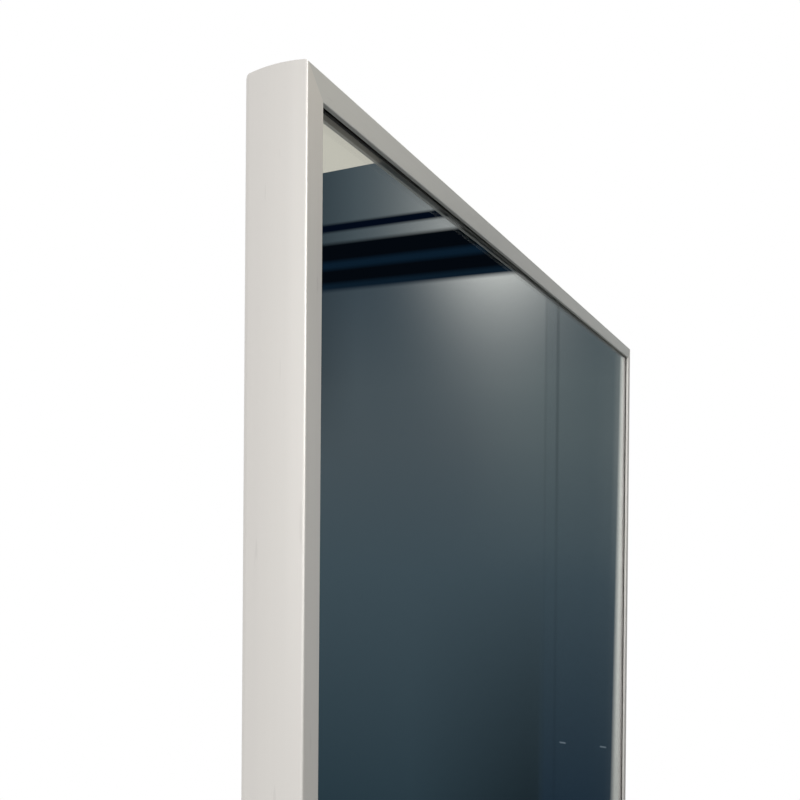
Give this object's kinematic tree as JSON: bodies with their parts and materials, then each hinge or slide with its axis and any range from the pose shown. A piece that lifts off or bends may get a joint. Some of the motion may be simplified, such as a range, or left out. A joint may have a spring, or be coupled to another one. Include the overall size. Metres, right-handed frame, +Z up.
{
  "type": "pull-out closet mirror",
  "caption": "Slim framed full-length mirror that pulls out of a closet on a ball-bearing wall slide and swivels to face the user.",
  "frame": {"origin": "centre of the four wall screw holes, on the wall plane behind the slide", "axes": "+X along the mirror's width towards the closet's back, +Y into the wall, +Z up; the glass faces -Y and pulls out towards -X"},
  "size_m": [0.533, 0.0635, 1.219],
  "materials": {
    "anodised_aluminium": "matte champagne-silver anodised",
    "mirror": "polished silvered glass",
    "black_tape": "thin matt black foam tape",
    "hardboard": "pressed brown fibre board",
    "cast_keys": "plain zinc casting",
    "coated_steel": "fine-textured grey powder coat",
    "zinc_steel": "bright zinc plated",
    "cage_steel": "thin pressed strip, greased",
    "ball_steel": "polished",
    "screw_steel": "zinc plated",
    "nylon": "natural nylon",
    "black_plastic": "moulded, fine grain"
  },
  "bodies": {
    "wall_side": {"wall_bracket_front": "zinc_steel", "wall_bracket_rear": "zinc_steel", "slide_cabinet_member": "zinc_steel", "rear_stop_bumper": "black_plastic"},
    "outer_cage": {"outer_ball_cage": "cage_steel", "outer_balls": "ball_steel"},
    "middle_rail": {"slide_middle_member": "zinc_steel", "middle_stop_clip": "black_plastic"},
    "inner_cage": {"inner_ball_cage": "cage_steel", "inner_balls": "ball_steel"},
    "carriage": {"slide_inner_member": "zinc_steel", "release_lever": "black_plastic", "carriage_bracket": "coated_steel", "carriage_screws": "screw_steel", "pivot_bushes": "nylon", "friction_washers": "ball_steel", "pivot_pin": "screw_steel", "retaining_clip": "screw_steel"},
    "mirror": {"frame_left_stile": "anodised_aluminium", "frame_right_stile": "anodised_aluminium", "frame_top_rail": "anodised_aluminium", "frame_bottom_rail": "anodised_aluminium", "corner_keys": "cast_keys", "glazing_tape": "black_tape", "mirror_glass": "mirror", "backing_board": "hardboard", "cross_bar_upper": "coated_steel", "cross_bar_lower": "coated_steel", "cross_bar_screws": "screw_steel", "pivot_plate": "coated_steel", "pivot_plate_screws": "screw_steel"}
  },
  "joints": [
    {"name": "pull_out", "type": "slide", "parent": "wall_side", "child": "middle_rail", "axis": [-1, 0, 0], "range_m": [0, 0.175]},
    {"name": "outer_cage_roll", "type": "slide", "parent": "wall_side", "child": "outer_cage", "axis": [-1, 0, 0], "range_m": [0, 0.0875]},
    {"name": "inner_extend", "type": "slide", "parent": "middle_rail", "child": "carriage", "axis": [-1, 0, 0], "range_m": [0, 0.175]},
    {"name": "inner_cage_roll", "type": "slide", "parent": "middle_rail", "child": "inner_cage", "axis": [-1, 0, 0], "range_m": [0, 0.0875]},
    {"name": "swivel", "type": "hinge", "parent": "carriage", "child": "mirror", "pos_m": [-0.18, -0.031, 0], "axis": [0, 0, -1], "range_deg": [0, 90]}
  ],
  "couplings": [
    {"joint": "outer_cage_roll", "follows": "pull_out", "ratio": 0.5},
    {"joint": "inner_extend", "follows": "pull_out", "ratio": 1},
    {"joint": "inner_cage_roll", "follows": "pull_out", "ratio": 0.5}
  ]
}
